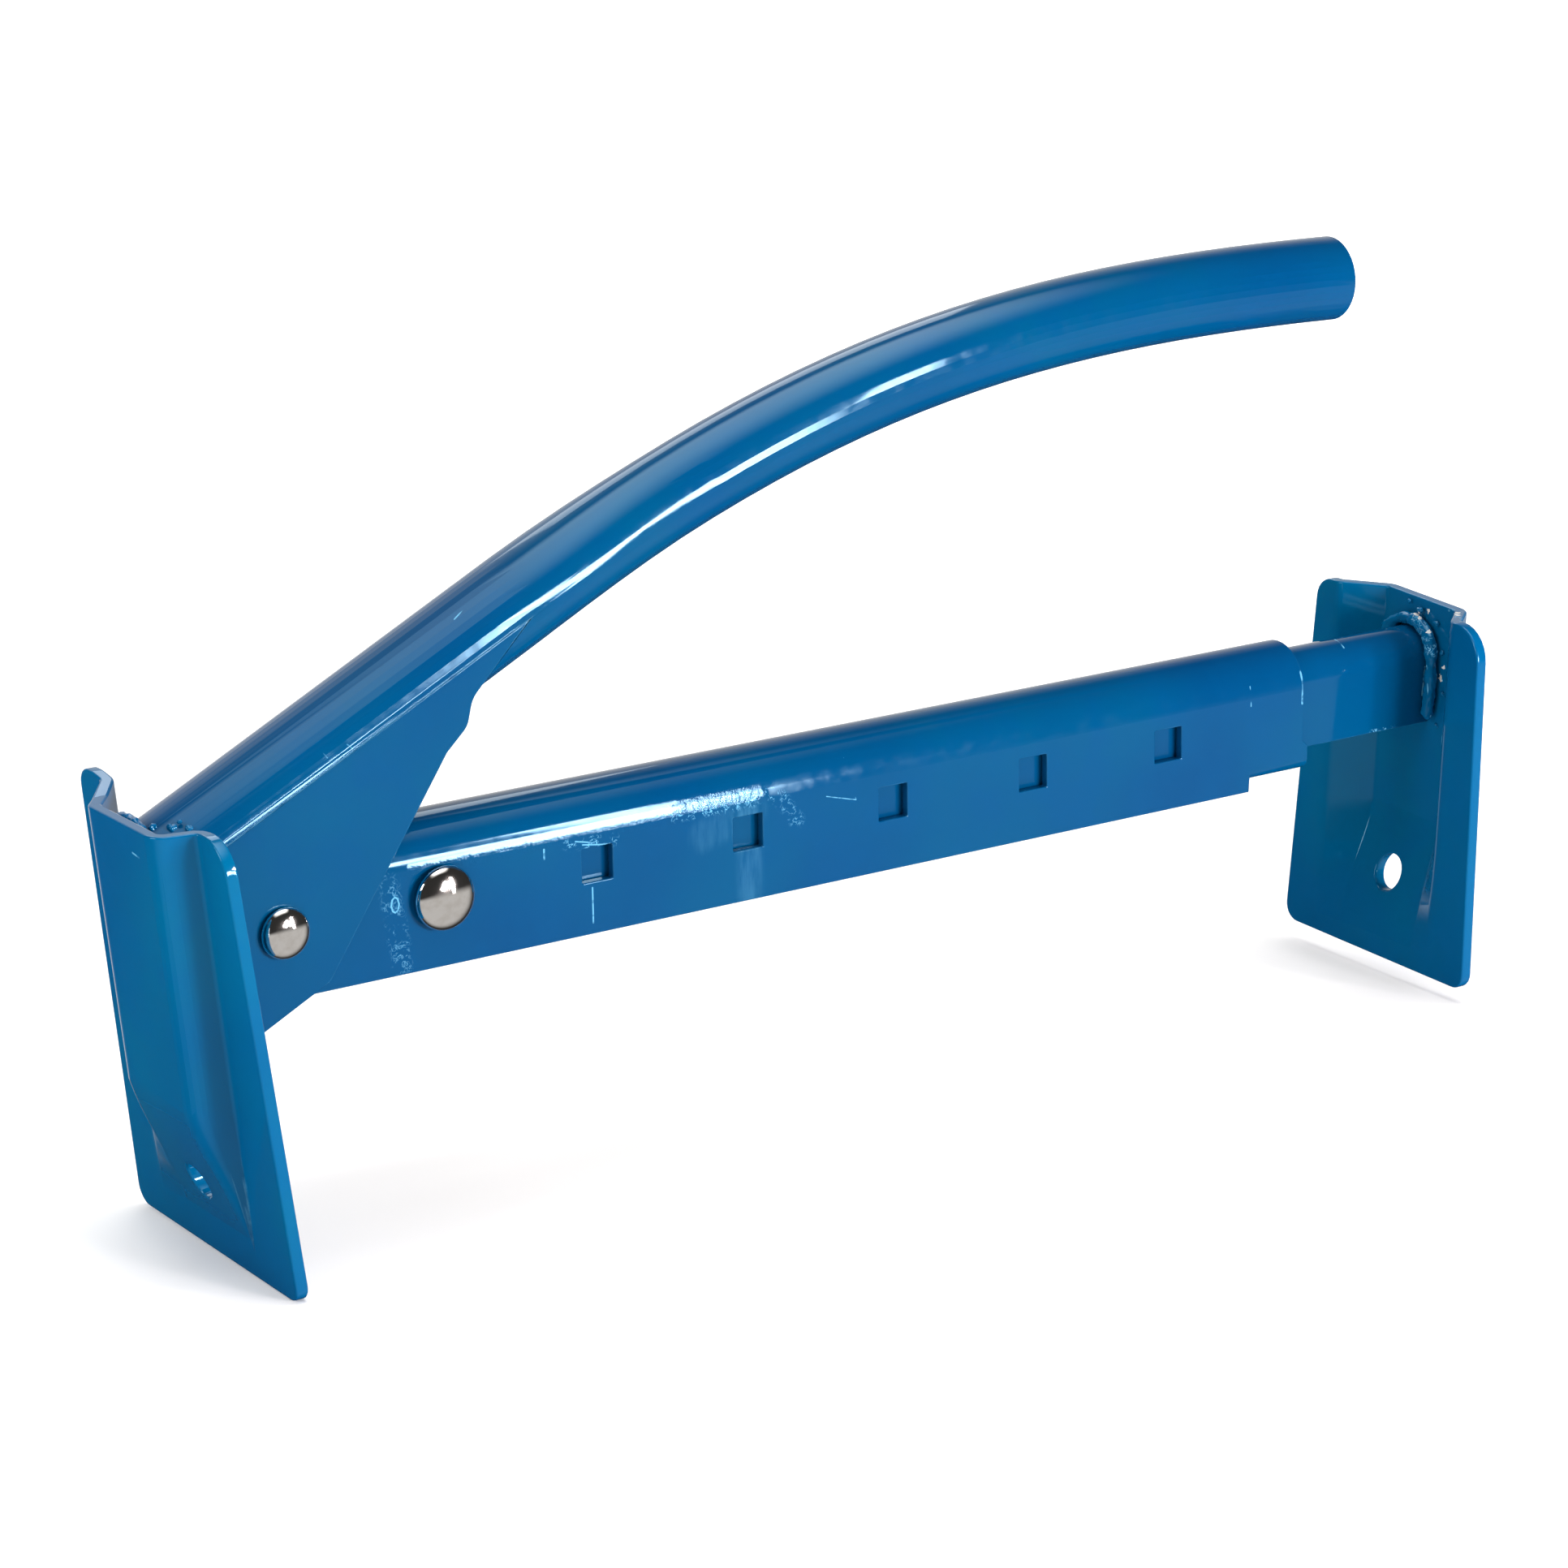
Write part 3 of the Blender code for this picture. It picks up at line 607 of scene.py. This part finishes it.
RIGHT_DROPS = [
    ((383.6, -4, 124.6), 1.1), ((384.2, -11.6, 121.4), 1.0), ((384, -15, 112), 0.8),
    ((383.6, -16.4, 98), 0.9), ((383.2, -14.2, 86.6), 1.0), ((384.4, 2.4, 126.2), 0.7),
]


def oval(x, z, wide, tall, width, count=8):
    """A scratched loop on the channel's near face."""
    ring = [(x + wide * math.cos(a), SIDE, z + tall * math.sin(a))
            for a in (2 * math.pi * i / count for i in range(count + 1))]
    return [(a, b, width) for a, b in zip(ring, ring[1:])]


def painted_pieces():
    loop = oval(-15.5, 99.4, 1.3, 2.4, 0.35)
    coat = paint("paint_channel", CHANNEL_MARKS + loop, rough_patches=CHANNEL_ROUGH,
                 pale_streaks=CHANNEL_PALE_STREAKS, scuffs=CHANNEL_SCUFFS)
    shell = round_edges(node_copy("outer_channel"), SHEET_EDGE, 3)
    piece("channel_shell", shell, "channel", "blue_paint", coat, "outer_channel")
    coat = paint("paint_bar", BAR_MARKS, scuffs=BAR_SCUFFS)
    bar = round_edges(node_copy("inner_bar"), SHEET_EDGE, 3)
    piece("sliding_bar", bar, "slider", "blue_paint", coat, "inner_bar")
    tube = round_edges(node_copy("handle"), SHEET_EDGE, 3)
    piece("handle_tube", tube, "lever", "blue_paint", paint("paint_handle", HANDLE_MARKS), "handle")
    # the jaws' coat is greener and lighter; the lightening is painted light on the jaws' faces
    coat = paint("paint_left", LEFT_MARKS, LEFT_CHIPS, tone=JAW_TEAL_AND_PAINTED_LIGHT)
    plate = round_edges(node_copy("left_jaw"), PLATE_EDGE, 3, 60.0)
    piece("left_jaw_plate", plate, "lever", "blue_paint", coat, "left_jaw")
    bead("left_weld_bead", "left_jaw_weld", "lever", "blue_paint", coat, 1.2, 4, LEFT_DROPS)
    coat = paint("paint_right", RIGHT_MARKS, RIGHT_CHIPS, scuffs=RIGHT_SCUFFS, tone=JAW_TEAL_AND_PAINTED_LIGHT)
    plate = round_edges(node_copy("right_jaw"), PLATE_EDGE, 3, 60.0)
    piece("right_jaw_plate", plate, "slider", "blue_paint", coat, "right_jaw")
    bead("right_weld_bead", "right_jaw_weld", "slider", "blue_paint", coat, 1.3, 5, RIGHT_DROPS)


def hardware():
    chrome, zinc = bright_plating(), zinc_plating()
    coach_bolt("pivot_coach_bolt", "pivot_bolt", "lever", head_radius=7.8, head=3.7, shank=3.0,
               neck=3.2, thread_from=20.5, pitch=1.0, steel=chrome)
    coach_bolt("adjuster_coach_bolt", "adjuster_bolt", "channel", head_radius=9.9, head=4.5, shank=4.0,
               neck=4.9, thread_from=14.2, pitch=1.25, steel=chrome)
    washer("pivot_washer_disc", "pivot_washer", "lever", 3.3, "zinc_plating", zinc)
    washer("adjuster_washer_disc", "adjuster_washer", "channel", 4.4, "zinc_plating", zinc)
    washer("pivot_sleeve_tube", "pivot_sleeve", "channel", 3.4, "zinc_plating", zinc)
    washer("nut_insert_ring", "pivot_nut_insert", "lever", 3.3, "nylon", nylon(), edge=0.2)
    lock_nut("pivot_lock_nut", "pivot_nut", "lever", 3.3, zinc)
    cast("wing_nut_casting", "adjuster_wing_nut", "wing_nut", "zinc_plating", zinc, voxel=0.3, soften=5)


# the studio

AIM = (130.0, 0.0, 130.0)     # what the lights point at
UNDER = (130.0, 0.0, 0.0)     # the floor's middle


def softbox(name, azimuth, elevation, distance, wide, tall, radiance, tint, roll):
    """A rectangular light; azimuth 0 is in front and 90 to the right. radiance sets its strength."""
    a, e = math.radians(azimuth), math.radians(elevation)
    away = Vector((math.sin(a) * math.cos(e), -math.cos(a) * math.cos(e), math.sin(e)))
    light = bpy.data.lights.new(name, "AREA")
    light.shape = "RECTANGLE"
    light.size, light.size_y = wide, tall
    light.energy = radiance * math.pi * wide * tall
    light.color = tint
    obj = bpy.data.objects.new(name, light)
    obj.location = spot(*AIM) + away * distance
    obj.rotation_mode = "QUATERNION"
    facing = (spot(*AIM) - obj.location).to_track_quat("-Z", "Y")
    obj.rotation_quaternion = facing @ Matrix.Rotation(math.radians(roll), 3, "Z").to_quaternion()
    obj.visible_camera = False
    SCENE.collection.objects.link(obj)


WARM = (1.0, 0.92, 0.92)
WHITE = (1.0, 1.0, 1.0)
# name, azimuth, elevation, distance, width, height, strength, tint, roll
SOFTBOXES = [
    ("front_strip", 20.2, 5.2, 1.9, 0.72, 0.24, 48.0, WARM, -27.0),
    ("front_end", 13.5, 7.0, 1.9, 0.24, 0.5, 40.0, WARM, -27.0),
    ("front_post", 29.0, 6.5, 1.9, 0.11, 0.95, 45.0, WARM, 0.0),
    ("left_box", -88.0, 24.0, 1.9, 0.9, 0.9, 6.8, WHITE, 0.0),
    ("back_box", 160.0, 40.0, 2.0, 0.9, 0.7, 2.5, WHITE, 0.0),
]


PANEL, BEHIND, LOW, SOFT, DIM = 4.0, 0.85, 0.5, 0.3, 0.03      # strengths of the world's parts


def world():
    """A soft overhead panel, white behind to the right, warm grey low in front; white when seen."""
    SCENE.world = bpy.data.worlds.new("studio")
    SCENE.world.use_nodes = True
    tree = SCENE.world.node_tree
    back = tree.nodes["Background"]
    where = tree.nodes.new("ShaderNodeTexCoord")
    split = tree.nodes.new("ShaderNodeSeparateXYZ")
    tree.links.new(where.outputs["Generated"], split.inputs[0])
    x, y, z = (split.outputs[axis] for axis in "XYZ")

    def ramp(output, low, high):
        made = tree.nodes.new("ShaderNodeMapRange")
        made.interpolation_type = "SMOOTHSTEP"
        tree.links.new(output, made.inputs["Value"])
        made.inputs["From Min"].default_value = low
        made.inputs["From Max"].default_value = high
        return made.outputs["Result"]

    def combine(operation, *values):
        out = values[0]
        for value in values[1:]:
            made = tree.nodes.new("ShaderNodeMath")
            made.operation = operation
            for socket, given in zip(made.inputs, (out, value)):
                if isinstance(given, bpy.types.NodeSocket):
                    tree.links.new(given, socket)
                else:
                    socket.default_value = given
            out = made.outputs[0]
        return out

    high = combine("MAXIMUM", z, 0.05)
    across, ahead = combine("DIVIDE", x, high), combine("DIVIDE", y, high)
    panel = combine("MULTIPLY", ramp(across, -0.45, 0.05), ramp(across, 0.72, 0.3),
                    ramp(ahead, -1.0, 0.0), ramp(ahead, 0.55, 0.3), ramp(z, 0.3, 0.5), PANEL)
    behind = combine("MULTIPLY", ramp(x, -0.35, 0.05), ramp(y, 0.35, 0.85), ramp(z, -0.46, -0.34), BEHIND)
    low = combine("MULTIPLY", ramp(y, 0.0, -0.5), ramp(z, -0.02, -0.2), LOW)
    path = tree.nodes.new("ShaderNodeLightPath")
    soft = combine("MULTIPLY", path.outputs["Is Diffuse Ray"], SOFT)
    glow = combine("ADD", panel, behind, low, soft, DIM)
    seen = path.outputs["Is Camera Ray"]
    lit = combine("MULTIPLY", glow, combine("SUBTRACT", 1.0, seen))
    strength = combine("ADD", lit, seen)
    back.inputs["Color"].default_value = (1.0, 0.985, 0.965, 1.0)
    tree.links.new(strength, back.inputs["Strength"])


FLOOR = 8.0                   # half the floor's size, in metres


def floor():
    """Pale floor that turns to plain white away from the object."""
    g = Graph("floor")
    cloud = g.noise(3.0, 2.0)
    far = g.span(g.vector("DISTANCE", g.place, tuple(spot(*UNDER))), 0.25, 1.2, 0.12)
    g.set(Base_Color=g.mix(cloud, (0.88, 0.88, 0.88, 1.0), (0.9, 0.9, 0.9, 1.0)), Roughness=0.9,
          Specular_IOR_Level=0.0, Emission_Color=(1.0, 1.0, 1.0, 1.0), Emission_Strength=far)
    bm = bmesh.new()
    level = CAD_BOX[0].z
    corners = [(-FLOOR, -FLOOR), (FLOOR, -FLOOR), (FLOOR, FLOOR), (-FLOOR, FLOOR)]
    bm.faces.new([bm.verts.new((x, y, level)) for x, y in corners])
    mesh = bpy.data.meshes.new("floor")
    bm.to_mesh(mesh)
    bm.free()
    mesh.materials.append(g.material)
    obj = bpy.data.objects.new("floor", mesh)
    SCENE.collection.objects.link(obj)
    obj.visible_glossy = False


CAMERA_PLACE = (-691.969, -1248.467, 548.55)
CAMERA_TURN = (33.369, 16.438, -0.8985)      # azimuth, elevation and roll
CAMERA_LENS = 115.593


def camera():
    """Long lens from the front left and a little above."""
    azimuth, elevation, roll = (math.radians(angle) for angle in CAMERA_TURN)
    forward = Vector((math.sin(azimuth) * math.cos(elevation), math.cos(azimuth) * math.cos(elevation),
                      -math.sin(elevation)))
    level = Vector((math.cos(azimuth), -math.sin(azimuth), 0.0))
    upright = level.cross(forward)
    right = level * math.cos(roll) + upright * math.sin(roll)
    up = right.cross(forward)
    data = bpy.data.cameras.new("camera")
    data.sensor_width = 36.0
    data.lens = CAMERA_LENS
    data.clip_start = 0.05
    data.clip_end = 50.0
    obj = bpy.data.objects.new("camera", data)
    SCENE.collection.objects.link(obj)
    turn = Matrix((right, up, -forward)).transposed().to_4x4()
    obj.matrix_world = Matrix.Translation(spot(*CAMERA_PLACE)) @ turn
    SCENE.camera = obj


camera()
painted_pieces()
hardware()
world()
for row in SOFTBOXES:
    softbox(*row)
floor()
SCENE.view_settings.view_transform = "Standard"
